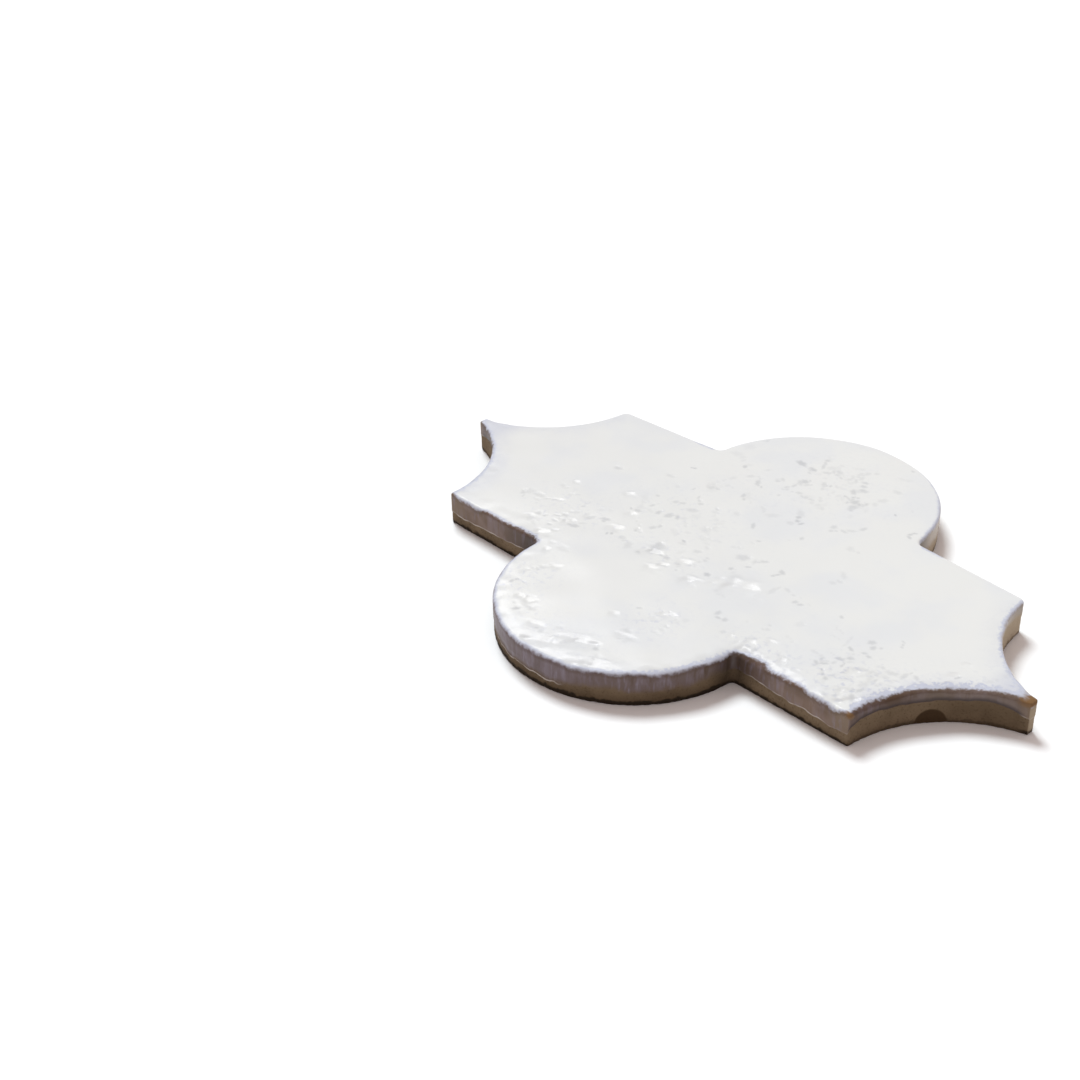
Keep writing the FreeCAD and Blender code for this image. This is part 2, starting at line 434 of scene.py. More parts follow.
class Marks:
    """Specks scattered over the named patches of the face, and the dents that catch the light."""

    def __init__(self, finish, plan):
        draw = np.random.default_rng(finish.seed)
        specks, dents = [], []
        for x, y, spread_x, spread_y, count, length, small_dents, _ in PATCHES.values():
            for _ in range(count):
                place = np.array((draw.normal(x, spread_x), draw.normal(y, spread_y))) * MM
                specks += self.speck(draw, place, length * MM, finish.speck_depth)
            for _ in range(small_dents):
                place = np.array((draw.normal(x, spread_x), draw.normal(y, spread_y))) * MM
                long = draw.uniform(*SMALL_DENT) * MM
                dents.append((*place, long, long * draw.uniform(0.35, 0.55), draw.normal(DENT_TURN, 0.2)))
        for x, y, long, wide in DENTS.values():
            size = (DENT_LONGER * long * MM, DENT_WIDER * wide * MM)
            dents.append((x * MM, y * MM, *size, draw.normal(DENT_TURN, 0.12)))
        specks, dents = np.array(specks), np.array(dents)
        self.specks = specks[plan.covers(specks[:, :2])]
        self.dents = dents[plan.covers(dents[:, :2])]
        self.slope = finish.dent_slope

    def speck(self, draw, place, length, depth):
        """One to three ellipses: x, y, half length, half width, turn, depth, darkness, wobble."""
        chain = []
        heading = draw.uniform(0, 2 * math.pi)
        darkness = 0.1 + 0.5 * draw.uniform(0, 1) ** 2
        for _ in range(draw.integers(1, 4)):
            long = 0.6 * length * math.exp(draw.normal(0, 0.35))
            wide = long * draw.uniform(0.5, 0.9)
            turn = heading + draw.normal(0, 0.5)
            deep = depth * draw.uniform(0.5, 1.5)
            chain.append((*place, long, wide, turn, deep, darkness, draw.uniform(0, 6.3)))
            heading += draw.normal(0, 0.6)
            place = place + 1.5 * long * np.array((math.cos(heading), math.sin(heading)))
        return chain

    def reach(self, points):
        """Which points lie on or beside a mark."""
        near = np.zeros(len(points), bool)
        for x, y, long, *_ in self.specks:
            near |= np.hypot(points[:, 0] - x, points[:, 1] - y) < SPECK_REACH * long
        for x, y, long, wide, turn in self.dents:
            around, along, over = beside(points, x, y, turn, 0.6 * long + 1.5 * wide)
            near[around] |= (np.abs(along) < 0.6 * long) & (over > -1.5 * wide) & (over < wide)
        return near

    def relief(self, points):
        """Height that the marks add at each point, and how dark they are there, with painted shade on the
        dents' brows.
        """
        height, dark = np.zeros(len(points)), np.zeros(len(points))
        for x, y, long, wide, turn, deep, shade, wobble in self.specks:
            near, along, over = beside(points, x, y, turn, SPECK_REACH * long)
            angle = np.arctan2(over / wide, along / long)
            ragged = 1 + 0.2 * np.sin(2 * angle + wobble) + 0.12 * np.sin(5 * angle + 2 * wobble)
            bowl = 1 - smooth(0.3, 1.0, np.hypot(along / long, over / wide) / ragged)
            height[near] -= deep * bowl
            dark[near] = np.maximum(dark[near], shade * bowl)
        for x, y, long, wide, turn in self.dents:
            near, along, over = beside(points, x, y, turn, 0.5 * long + 1.6 * wide)
            uneven = 0.12 * waves(points[near], 5 * MM, seed=15)
            across = 2 * over / wide + 0.25 * (2 * along / long) ** 2 + uneven
            ends = smooth(1.0, 0.15, np.abs(2 * along / long) + 2 * uneven)
            far_side = np.clip((1 - across) / 1.35, 0, 1)
            near_side = smooth(-2.8, -0.35, across)
            height[near] -= self.slope * wide * ends * far_side * near_side
            # painted shade: a dark line along the far rim of each dent
            brow_shade = np.exp(-((across - 1.1) / 0.35) ** 2) * ends
            dark[near] = np.maximum(dark[near], 0.25 * brow_shade)
        return height, dark

    def mottle(self, points):
        """How mottled the glaze is at each point."""
        share = np.zeros(len(points))
        for x, y, spread_x, spread_y, _, _, _, strength in PATCHES.values():
            away = np.hypot((points[:, 0] / MM - x) / spread_x, (points[:, 1] / MM - y) / spread_y)
            share = np.maximum(share, strength * np.exp(-0.4 * away ** 2))
        return share


def beside(points, x, y, turn, reach):
    """The points within reach of a place, and their ways along and across a turned axis through it."""
    near = np.flatnonzero(np.hypot(points[:, 0] - x, points[:, 1] - y) < reach)
    away = points[near] - (x, y)
    return near, away @ (math.cos(turn), math.sin(turn)), away @ (-math.sin(turn), math.cos(turn))


class Surface:
    """Heights of the tile's face and of the glaze on its wall."""

    def __init__(self, sizes, finish, marks):
        self.sizes, self.finish, self.marks = sizes, finish, marks

    def level(self, points, inset):
        """Height of the face without its marks and its arris. It falls towards the near edges."""
        near = 0.12 + 0.88 * smooth(35 * MM, -30 * MM, points[:, 1])
        fall = np.clip(1 - inset / self.sizes.fall_width, 0, 1) ** 1.6
        broken = 0.62 + 0.45 * waves(points, 17 * MM, seed=14) + 0.25 * waves(points, 6 * MM, seed=16)
        fall *= np.clip(broken, 0.1, 1.15)
        fall *= 0.2 + 0.8 * smooth(-31 * MM, -15 * MM, points[:, 0])
        slow = waves(points, 34 * MM, seed=11) + 0.45 * waves(points, 13 * MM, seed=12)
        ripple = waves(points, 6 * MM, seed=13) * smooth(9 * MM, 1.5 * MM, inset) * near
        uneven = self.finish.wave_height * (0.6 * slow + 0.4 * ripple - 1.4)
        top = np.minimum(self.sizes.thickness + uneven, self.sizes.thickness)
        return top - self.sizes.fall_depth * near * fall

    def face(self, points, inset):
        """Height of the face inside the arris, and how dark its marks are."""
        relief, dark = self.marks.relief(points)
        inner = smooth(self.sizes.arris_width, 2.2 * MM, inset)
        return self.level(points, inset) + relief * inner, dark * inner

    def line_height(self, points, share):
        """Height of the glaze's lower edge on the wall."""
        uneven = 0.03 * waves(points, 21 * MM, seed=31) + 0.015 * waves(points, 5 * MM, seed=32)
        return self.sizes.thickness * (share + uneven)


class Row:
    """One row of points round the tile, with the values kept for its materials."""

    def __init__(self, points, heights, edge, above):
        self.points, self.heights, self.edge, self.above = points, heights, edge, above


def outline_rows(sizes, plan, surface):
    """The rows from the foot up the wall and over the arris, and the outline's place under each column."""
    loop = evenly(np.concatenate((plan.fine, plan.fine[:1])), WALL_STEP)[:-1]
    _, under = plan.nearest(loop)
    inward = -plan.outward[under]
    line = surface.line_height(loop, plan.line[under])
    ground = np.zeros(len(loop))
    wall_top = surface.level(loop, ground) - sizes.arris_depth
    foot = FOOT_ROUGHNESS * np.abs(waves(loop, 7 * MM, seed=51) + 0.7 * waves(loop, 2.2 * MM, seed=52))
    chamfer = sizes.foot_chamfer
    sections = [(ground, chamfer), (ground + 0.3 * chamfer, 0.4 * chamfer)]
    for share in np.linspace(0, 1, WALL_ROWS + 1):
        sections.append((chamfer + (wall_top - chamfer) * share, 0.0))
    rows = []
    for height, inset in sections:
        bare = sizes.glaze_build * (1 - smooth(-0.2 * MM, 0.25 * MM, height - line))
        rough = WALL_ROUGHNESS * np.abs(waves(loop + 3.7 * height[:, None], 2.4 * MM, seed=53))
        on_wall = smooth(wall_top + 0.1 * MM, wall_top - 1.2 * MM, height)
        moved = inset + on_wall * (bare + rough) + foot * smooth(3 * chamfer, 0.0, height)
        rows.append(Row(loop + inward * moved[:, None], height, height - wall_top, height - line))
    from_tip = np.hypot(np.abs(loop[:, 0]) - plan.tip_x, loop[:, 1])
    narrower = 0.3 + 0.7 * smooth(1.5 * MM, 4.5 * MM, from_tip)
    run = 0.0
    before = np.zeros(2)
    for angle in np.linspace(0, math.pi / 2, ARRIS_ROWS + 1)[1:]:
        inset = sizes.arris_width * (1 - math.cos(angle))
        rise = sizes.arris_depth * math.sin(angle)
        run += math.hypot(inset - before[0], rise - before[1])
        before = np.array((inset, rise))
        points = loop + inward * (inset * narrower)[:, None]
        height = surface.level(points, inset * narrower) - sizes.arris_depth + rise
        rows.append(Row(points, height, np.full(len(loop), run), height - line))
    return rows, under


def hexagons(plan, step):
    """Points of a hexagonal lattice over the tile, and True for those of the lattice twice as wide."""
    rise = step * math.sqrt(3) / 2
    half_x, half_y = plan.half_size
    across, up = int(half_x / step) + 1, int(half_y / rise) + 1
    row, column = np.mgrid[-up:up + 1, -across:across + 1]
    x = (column + 0.5 * (row % 2)) * step
    y = row * rise
    wide = (row % 2 == 0) & ((column + row // 2) % 2 == 0)
    return np.c_[x.ravel(), y.ravel()], wide.ravel()


def triangles(ring, inner):
    """Triangles between a closed ring and the points inside it, as places in ring + inner."""
    points = np.concatenate((ring, inner)) / MM
    rim = list(range(len(ring)))
    found, _, faces, *_ = delaunay_2d_cdt([tuple(p) for p in points], [], [rim], 1, 1e-7, False)
    if len(found) != len(points):
        raise RuntimeError("the face has points that coincide")
    faces = np.array(faces)
    first, second, third = faces.T
    outer = (faces < len(ring)).all(axis=1)
    rising = ((first < second) & (second < third)) | ((second < third) & (third < first))
    rising |= (third < first) & (first < second)
    return faces[~outer | rising]


class Skin:
    """Collects points, faces and texture places, and turns them into a mesh."""

    def __init__(self):
        self.points, self.values = [], {}
        self.faces, self.places, self.slots = [], [], []
        self.count = 0

    def add_points(self, points, heights, values):
        self.points.append(np.c_[points, heights])
        for name, value in values.items():
            self.values.setdefault(name, []).append(np.broadcast_to(value, len(points)))
        first = self.count
        self.count += len(points)
        return first

    def add_faces(self, faces, places, slot):
        self.faces += faces.tolist()
        self.places.append(places.reshape(-1, 2))
        self.slots += [slot] * len(faces)

    def mesh(self, name):
        mesh = bpy.data.meshes.new(name)
        mesh.from_pydata(np.concatenate(self.points).tolist(), [], self.faces)
        mesh.polygons.foreach_set("material_index", self.slots)
        mesh.polygons.foreach_set("use_smooth", [slot == 0 for slot in self.slots])
        layer = mesh.uv_layers.new(name=MAP_NAME)
        layer.uv.foreach_set("vector", (np.concatenate(self.places) / MAP_SIDE).ravel())
        for value, kept in self.values.items():
            store(mesh, value, np.concatenate(kept))
        return mesh


def store(mesh, name, values):
    """Keeps one value for each point of the mesh."""
    kept = mesh.attributes.new(name, "FLOAT", "POINT")
    kept.data.foreach_set("value", np.asarray(values, np.float32))


def tile_mesh(sizes, finish):
    """The tile's closed skin."""
    plan = Plan(sizes)
    marks = Marks(finish, plan)
    surface = Surface(sizes, finish, marks)
    rows, under = outline_rows(sizes, plan, surface)
    skin = Skin()
    firsts = []
    for row in rows:
        values = {EDGE: row.edge, ABOVE: row.above, NOTCH: plan.notch[under],
                  HOLLOW: plan.in_hollow[under], PIT: 0.0, MOTTLE: marks.mottle(row.points)}
        firsts.append(skin.add_points(row.points, row.heights, values))
    add_wall(skin, plan, rows, firsts)
    add_face(skin, plan, surface, rows[-1], firsts[-1])
    add_back(skin, plan, rows[0], firsts[0])
    return skin.mesh(NODE), plan


def add_wall(skin, plan, rows, firsts):
    """Quads between the rows, with the wall laid out in strips and the arris laid out with the face."""
    count = len(rows[0].points)
    column = np.arange(count)
    after = (column + 1) % count
    face_corner = plan.half_size + MAP_GAP
    strip = math.ceil(count / WALL_STRIPS)
    strip_left = 2 * MAP_GAP + BACK_SCALE * 2 * face_corner[0]
    strip_low = 2 * face_corner[1] + MAP_GAP
    pitch = (MAP_SIDE - strip_low) / WALL_STRIPS
    left = strip_left + (column % strip) * WALL_STEP
    right = left + WALL_STEP
    for number in range(len(rows) - 1):
        low, high = firsts[number], firsts[number + 1]
        quads = np.c_[low + column, low + after, high + after, high + column]
        below, over = rows[number], rows[number + 1]
        if number < FOOT_ROWS + WALL_ROWS - 1:
            base = strip_low + (column // strip) * pitch
            bottom = base + ROW_GAP * number
            top = base + ROW_GAP * (number + 1)
            places = np.stack((
                np.c_[left, bottom + below.heights], np.c_[right, bottom + below.heights[after]],
                np.c_[right, top + over.heights[after]], np.c_[left, top + over.heights]), 1)
        else:
            outer, inner = below.points + face_corner, over.points + face_corner
            places = np.stack((outer, outer[after], inner[after], inner), 1)
        skin.add_faces(quads, places, 0)


def add_face(skin, plan, surface, ring, ring_first):
    """The glazed face inside the arris."""
    points, wide = hexagons(plan, FACE_STEP)
    inside = plan.covers(points)
    points, wide = points[inside], wide[inside]
    inset, under = plan.nearest(points)
    fine = surface.marks.reach(points) | (inset < FINE_MARGIN)
    kept = (inset > surface.sizes.arris_width + 0.5 * FACE_STEP) & (wide | fine)
    points, inset, under = points[kept], inset[kept], under[kept]
    height, dark = surface.face(points, inset)
    edge = ring.edge[0] + inset - surface.sizes.arris_width
    values = {EDGE: edge, ABOVE: FAR_AWAY, NOTCH: plan.notch[under], HOLLOW: plan.in_hollow[under],
              PIT: dark, MOTTLE: surface.marks.mottle(points)}
    first = skin.add_points(points, height, values)
    where = np.concatenate((ring.points, points)) + plan.half_size + MAP_GAP
    index = np.concatenate((ring_first + np.arange(len(ring.points)), first + np.arange(len(points))))
    faces = triangles(ring.points, points)
    skin.add_faces(index[faces], where[faces], 0)


def add_back(skin, plan, ring, ring_first):
    """The bare bedding face."""
    points, _ = hexagons(plan, BACK_STEP)
    points = points[plan.covers(points)]
    inset, _ = plan.nearest(points)
    points = points[inset > 0.7 * BACK_STEP]
    values = {EDGE: -FAR_AWAY, ABOVE: -FAR_AWAY, NOTCH: FAR_AWAY, HOLLOW: 0.0, PIT: 0.0, MOTTLE: 0.0}
    first = skin.add_points(points, np.zeros(len(points)), values)
    low = np.array((MAP_GAP, 2 * plan.half_size[1] + 3 * MAP_GAP))
    where = (np.concatenate((ring.points, points)) + plan.half_size) * BACK_SCALE + low
    index = np.concatenate((ring_first + np.arange(len(ring.points)), first + np.arange(len(points))))
    faces = triangles(ring.points, points)[:, ::-1]
    skin.add_faces(index[faces], where[faces], 1)


def add_wear(mesh, sizes, plan):
    """Amber corners and the finger mark, from how near each point is to their places."""
    points = np.empty(3 * len(mesh.vertices))
    mesh.vertices.foreach_get("co", points)
    points = points.reshape(-1, 3)
    plan_points = points[:, :2]
    ragged = WEAR_RAGGEDNESS * waves(plan_points + points[:, 2:], 1.6 * MM, seed=61)
    worn = np.zeros(len(points))
    for x, y, reach in ((plan.tip_x, 0.0, TIP_WEAR), (plan.corner_x, -plan.neck_y, CORNER_WEAR)):
        spot = np.array((x, y, sizes.thickness - WEAR_DROP))
        away = np.linalg.norm((points - spot) * (1, 1, 0.8), axis=1) + ragged
        worn = np.maximum(worn, smooth(reach, 0.4 * reach, away))
    store(mesh, WORN, worn)
    hollow = np.array((plan.hollow[0], -plan.hollow[1]))
    angle = np.arctan2(points[:, 1] - hollow[1], points[:, 0] - hollow[0])
    on_hollow = np.abs(np.hypot(*(plan_points - hollow).T) - plan.lobe) < HOLLOW_WALL
    along = (angle - FINGER_TURN) * plan.lobe / FINGER_HALF_WIDTH
    up = points[:, 2] / FINGER_HEIGHT
    store(mesh, FINGER, np.where(on_hollow, np.hypot(along, up), FAR_AWAY * 10))


def add_node(tree, kind, inputs=None, **settings):
    """A node with its settings and inputs."""
    node = tree.nodes.new(kind)
    for name, value in settings.items():
        setattr(node, name, value)
    feed(tree, node, inputs or {})
    return node


def feed(tree, node, inputs):
    """Sets a node's inputs to constants, or links them to what other nodes put out."""
    for name, value in inputs.items():
        if isinstance(value, Value):
            value = value.socket
        if isinstance(value, bpy.types.NodeSocket):
            tree.links.new(value, node.inputs[name])
        else:
            node.inputs[name].default_value = value


class Value:
    """A number that a node puts out. Arithmetic with it adds nodes to its tree."""

    def __init__(self, tree, socket):
        self.tree, self.socket = tree, socket

    def maths(self, operation, *values):
        node = add_node(self.tree, "ShaderNodeMath", dict(enumerate(values)), operation=operation)
        return Value(self.tree, node.outputs[0])

    def __add__(self, other):
        return self.maths("ADD", self, other)

    def __sub__(self, other):
        return self.maths("SUBTRACT", self, other)

    def __rsub__(self, other):
        return self.maths("SUBTRACT", other, self)

    def __mul__(self, other):
        return self.maths("MULTIPLY", self, other)

    def __abs__(self):
        return self.maths("ABSOLUTE", self)

    def most(self, other):
        return self.maths("MAXIMUM", self, other)

    def least(self, other):
        return self.maths("MINIMUM", self, other)

    def step(self, low, high, to_low=0.0, to_high=1.0):
        """A smooth step between two limits."""
        inputs = {"Value": self, "From Min": low, "From Max": high, "To Min": to_low, "To Max": to_high}
        node = add_node(self.tree, "ShaderNodeMapRange", inputs, interpolation_type="SMOOTHSTEP")
        return Value(self.tree, node.outputs["Result"])


def noise(tree, point, length, detail=2.0):
    """Noise whose patches are about this many mm long."""
    inputs = {"Vector": point, "Scale": 1 / (length * MM), "Detail": detail}
    return Value(tree, add_node(tree, "ShaderNodeTexNoise", inputs).outputs["Fac"])


def layered(tree, colour, *layers):
    """A colour with others laid over it in turn, each by its share."""
    for over, share in layers:
        node = add_node(tree, "ShaderNodeMix", {0: share, 6: colour, 7: over}, data_type="RGBA")
        colour = node.outputs[2]
    return colour


class Places:
    """Where a point lies on the tile, in mm or as shares from 0 to 1. The glaze's colours depend on it."""

    def __init__(self, tree):
        self.tree = tree
        self.point = add_node(tree, "ShaderNodeTexCoord").outputs["Object"]
        stretched = {0: self.point, 1: RUN_STRETCH}
        self.upright = add_node(tree, "ShaderNodeVectorMath", stretched, operation="MULTIPLY").outputs[0]
        axes = add_node(tree, "ShaderNodeSeparateXYZ", {0: self.point}).outputs
        self.x, self.y, self.z = (Value(tree, axis) * (1 / MM) for axis in axes)
        self.edge, self.above, self.notch = (self.kept(name) * (1 / MM) for name in (EDGE, ABOVE, NOTCH))
        self.from_notch = abs(self.notch)
        self.hollow = self.kept(HOLLOW)
        self.burnt_hollow = self.hollow * self.x.step(81, 76.5, 0.0, 0.4)
        self.lobe = self.notch.step(0.5, 3.0)
        self.shoulder = (1.0 - self.lobe) * (1.0 - self.hollow)
        # the far walls, with the blunt end of the right-hand tip, which the wall's colour paints lighter as
        # if lit
        self.far = self.y.step(-1.0, 4.0).most(self.x.step(*TIP_FACE, 0.0, 0.7))
        self.nearer = self.far * -0.6 + 1.0

    def kept(self, name):
        """The value that the mesh keeps under this name."""
        node = add_node(self.tree, "ShaderNodeAttribute", attribute_name=name)
        return Value(self.tree, node.outputs["Fac"])

    def noise(self, length, detail=2.0):
        return noise(self.tree, self.point, length, detail)

    def runs(self, length, detail):
        """Noise that is drawn out upwards."""
        return noise(self.tree, self.upright, length, detail)


def thin_coat(at, finish):
    """Colour of the thin glaze on the wall: mauve to brown, with blotches and upright runs."""
    slow, runs, blotch = at.noise(11), at.runs(1.3, 3.0), at.runs(3.4, 4.0)
    pale_runs = runs.step(0.5, 0.76) * slow.step(0.35, 0.65, 0.25, 0.8)
    return layered(
        at.tree, finish.burnt,
        (finish.mauve, slow.step(0.3, 0.6).most(at.lobe * at.x.step(2, 22, 0.0, 0.95))),
        # dark gaps between the runs, then dark and pale blotches
        (finish.burnt, runs.step(0.46, 0.28, 0.0, 0.6)),
        (finish.burnt, blotch.step(0.47, 0.33, 0.0, 0.75)),
        (finish.streak, blotch.step(0.54, 0.7, 0.0, 0.35)),
        # shoulders: warmer, thin by the end corners and dark by the notches
        (finish.russet, at.shoulder * slow.step(0.3, 0.6, 0.2, 0.34)),
        (finish.clay, at.shoulder * at.notch.step(-30, -36, 0.0, 0.6)),
        (finish.violet, at.shoulder * at.notch.step(-17, -9, 0.0, 0.45)),
        # hollows: burnt, except on the right beyond the corner, where they are paler
        (finish.burnt, at.burnt_hollow),
        (finish.pale_coat, at.hollow * at.x.step(79, 86, 0.0, 0.15)),
        # lobes: bluer away from their right-hand side
        (finish.streak, at.lobe * at.x.step(26, 6, 0.0, 0.24)),
        # pale runs, few in the hollows, and the pale inside of the notches: pooled glaze, painted lighter
        # as a highlight
        (finish.streak, pale_runs * (at.hollow * -0.7 + 1.0)),
        (finish.streak, at.from_notch.step(0.5, 1.3, 0.2, 0.0)))


def height_over_line(at):
    """Height above the glaze's lower edge, which wobbles everywhere and sags on the lobes."""
    wobble = at.noise(2.5) * 0.7 - 0.35
    sag = at.noise(6, 3.0) * 3.2 - 1.6 + at.x.step(21, 8, 0.0, 1.9)
    return at.above + (sag * at.lobe + wobble)


def glazed_share(at, over_line):
    """Where the wall is glazed. The glaze ends crisply, but softly on the lobes and the far walls."""
    crisp = over_line.step(-0.05, 0.08)
    soft = over_line.step(-0.6, 2.2)
    share = crisp + (soft - crisp) * at.lobe.most(at.far)
    return share * at.x.step(*reversed(TIP_FACE))


def bead(at, over_line):
    """The pale line at the glaze's lower edge, on the shoulders and the left side of the lobes."""
    lined = (1.0 - at.lobe).most(at.x.step(12, 6)) * (1.0 - at.hollow)
    lined = lined * at.from_notch.step(3, 8) * at.noise(5).step(0.38, 0.6, 0.1, 0.85)
    return over_line.step(0.42, 0.22) * lined * over_line.step(-0.12, 0.05)


def notch_shade(at):
    """Painted shade on the wall on both sides of a notch."""
    crease = at.from_notch.step(1.1, 1.6) * at.from_notch.step(3.2, 1.9) * 0.6
    return crease.most(at.from_notch.step(9, 2, 0.0, 0.5))


def scorched_and_shaded(at):
    """Where the foot is scorched and darkened by a painted contact shadow, less in the hollows and on the
    far walls.
    """
    height = at.noise(2.2, 3.0) * -2.4 + at.z + at.lobe * -0.3
    return height.step(0.35, -0.4) * (at.hollow.most(at.far) * -0.5 + 1.0)


def darker_clay(at):
    """Where the bare clay is darker: low on the lobes, towards the right-hand tip, and at the foot."""
    on_lobe = at.z.step(5.5, 0.5, 0.15, 0.7) * at.lobe
    by_tip = at.x.step(77, 99, 0.1, 0.55) * at.hollow
    return on_lobe.most(by_tip).most(at.z.step(3, 0.5, 0.0, 0.4))


def wall(at, finish, clay, over_line, glazed):
    """Colour of the wall: thin glaze, bare clay below it, their marks, and painted shade at the foot and
    beside the notches. The far walls are painted paler, as if lit.
    """
    # painted light: lit copies of the clay and the coat on the far walls and the tip's blunt end
    paler = at.far * at.x.step(8, 26, 0.5, 1.0)
    bare = layered(at.tree, clay, (finish.dark_clay, darker_clay(at)), (finish.pale_clay, paler))
    band = over_line.step(1.7, 0.3) * at.hollow * 0.85
    pale = layered(at.tree, finish.pale_coat, (finish.burnt, at.burnt_hollow))
    coat = layered(at.tree, thin_coat(at, finish), (finish.violet, band), (pale, paler))
    return layered(
        at.tree, bare,
        (coat, glazed),
        (finish.bead, bead(at, over_line)),
        (finish.foot, notch_shade(at)),
        (finish.foot, scorched_and_shaded(at)),
        (finish.finger, at.kept(FINGER).step(1.06, 0.94)))


def white_coat(at, finish, by_hollow, mottled):
    """Colour of the full coat: cool patches, painted shade towards the near left, a wash by the hollows and
    tips, mottling and specks.
    """
    cool = at.noise(19, 3.0) + at.edge.step(9, 1.0, 0.0, 0.12)
    to_far_right = at.x * 0.65 + at.y
    wash = by_hollow * at.noise(6).step(0.3, 0.7, 0.1, 0.4)
    return layered(
        at.tree, finish.white,
        (finish.cool_white, cool.step(0.45, 0.7)),
        # painted shade: the coat darkened towards the near left, to even out the sheen panel's glow there
        (finish.pit_shade, to_far_right.step(70, -70, 0.0, 0.1)),
        (finish.fringe, wash.most(abs(at.x).step(88, 98, 0.0, 0.62))),
        (finish.fringe, mottled),
        (finish.pit_shade, at.kept(PIT) * 0.7))


def way_over_end(at):
    """Way in from the ragged end of the glaze on the arris, which lies elsewhere on each stretch."""
    tooth = (at.noise(0.9) - 0.5) * (at.lobe * -0.7 + 1.6)
    way = at.noise(3.2, 3.0) * 1.6 + at.edge + (tooth + 0.8) + at.noise(9)
    # far edges, where the glaze hangs over more, but less towards the right
    rim = at.lobe.most(at.hollow) * at.x.step(6, 26)
    way = way + at.far * (rim * -0.8 + 1.4)
    # shoulders, where it is drawn back beside the notch and hangs over before the corner
    drawn_back = at.notch.step(-11, -8.5, 0.0, -1.0) * at.notch.step(-1.0, -2.4)
    hung_over = at.notch.step(-22, -26, -0.45, 0.55).least(at.notch.step(-37.5, -34, -0.45, 0.55))
    way = way + at.shoulder * (hung_over + drawn_back)
    # hollows, where it is drawn back, but less on the far ones and not at the left-hand end
    return way + at.hollow * (at.far * 0.9 + at.x.step(-80, -60, 0.1, -1.2))


def full_coat(at, way):
    """Where the glaze is thick and white. The fringe before it is widest in the near right hollow."""
    wide = at.hollow.most(at.lobe * at.x.step(0.0, 35, 0.0, 0.6)) * at.noise(1.1).step(0.3, 0.7)
    wide = wide * at.nearer * at.x.step(-80, -60, 0.3, 1.0)
    return (wide * -1.8 + way).step(3.0, 4.2)


def clay_body():
    """Node group of the fired clay: its grainy colour and the height of its grain."""
    tree = bpy.data.node_groups.new("fired clay", "ShaderNodeTree")
    tree.interface.new_socket("Clay", in_out="INPUT", socket_type="NodeSocketColor")
    tree.interface.new_socket("Dark clay", in_out="INPUT", socket_type="NodeSocketColor")
    tree.interface.new_socket("Color", in_out="OUTPUT", socket_type="NodeSocketColor")
    tree.interface.new_socket("Grain", in_out="OUTPUT", socket_type="NodeSocketFloat")
    given = add_node(tree, "NodeGroupInput").outputs
    point = add_node(tree, "ShaderNodeTexCoord").outputs["Object"]
    grain = noise(tree, point, 0.55, 3.0)
    dark = noise(tree, point, 7, 4.0).step(0.35, 0.75, 0.0, 0.5) + grain.step(0.52, 0.74, 0.0, 0.6)
    colour = layered(tree, given["Clay"], (given["Dark clay"], dark))
    add_node(tree, "NodeGroupOutput", {"Color": colour, "Grain": grain})
    return tree


def new_material(name):
    """A material whose node tree holds only its shader and its output."""
    material = bpy.data.materials.new(name)
    material.use_nodes = True
    tree = material.node_tree
    tree.nodes.clear()
    shader = add_node(tree, "ShaderNodeBsdfPrincipled")
    add_node(tree, "ShaderNodeOutputMaterial", {"Surface": shader.outputs["BSDF"]})
    return material, tree, shader


def add_clay(tree, finish, group):
    """The clay's node group, as its outputs."""
    inputs = {"Clay": finish.clay, "Dark clay": finish.dark_clay}
    return add_node(tree, "ShaderNodeGroup", inputs, node_tree=group).outputs


def bumped(tree, height, strength, distance):
    """The direction that a surface of this unevenness faces."""
    inputs = {"Height": height, "Strength": strength, "Distance": distance}
    return add_node(tree, "ShaderNodeBump", inputs).outputs["Normal"]


def glazed_stoneware(finish, group):
    """Glaze over clay: white on the face, thin and brown on the wall, and gone below its lower edge."""
    material, tree, shader = new_material("glazed stoneware")
    at = Places(tree)
    clay = add_clay(tree, finish, group)
    over_line = height_over_line(at)
    glazed = glazed_share(at, over_line)
    by_hollow = at.hollow * at.edge.step(9, 1.5) * at.nearer
    mottle = by_hollow * 0.4 + at.kept(MOTTLE)
    grains = at.noise(1.7, 3.0)
    mottled = grains.step(0.5, 0.76, 0.0, 0.8) * mottle
    way = way_over_end(at)
    coat = full_coat(at, way)
    broken = way.step(1.0, 1.9) * way.step(2.8, 1.9) * (at.far * -0.3 + 0.35)
    worn = at.kept(WORN) * at.edge.step(3.4, 1.8) * at.edge.step(-1.0, 0.1)
    colour = layered(
        tree, wall(at, finish, clay["Color"], over_line, glazed),
        (finish.burnt, broken),
        (finish.fringe, way.step(2.1, 3.3)),
        (white_coat(at, finish, by_hollow, mottled), coat),
        (finish.amber, worn))
    uneven = Value(tree, clay["Grain"]) * (1.0 - glazed) * 0.5 + grains * (mottle * coat)
    feed(tree, shader, {
        "Base Color": colour,
        "Roughness": glazed * (GLAZE_ROUGHNESS - CLAY_ROUGHNESS) + CLAY_ROUGHNESS,
        "Specular IOR Level": 0.15,
        "Coat Weight": coat.most(glazed * 0.3),
        "Coat Roughness": 0.2,
        "Normal": bumped(tree, uneven, 0.4, 0.25 * MM),
    })
    return material


def bare_clay(finish, group):
    """The unglazed bedding face."""
    material, tree, shader = new_material("bare clay")
    clay = add_clay(tree, finish, group)
    normal = bumped(tree, clay["Grain"], 0.5, 0.2 * MM)
    feed(tree, shader, {"Base Color": clay["Color"], "Roughness": CLAY_ROUGHNESS, "Normal": normal})
    return material


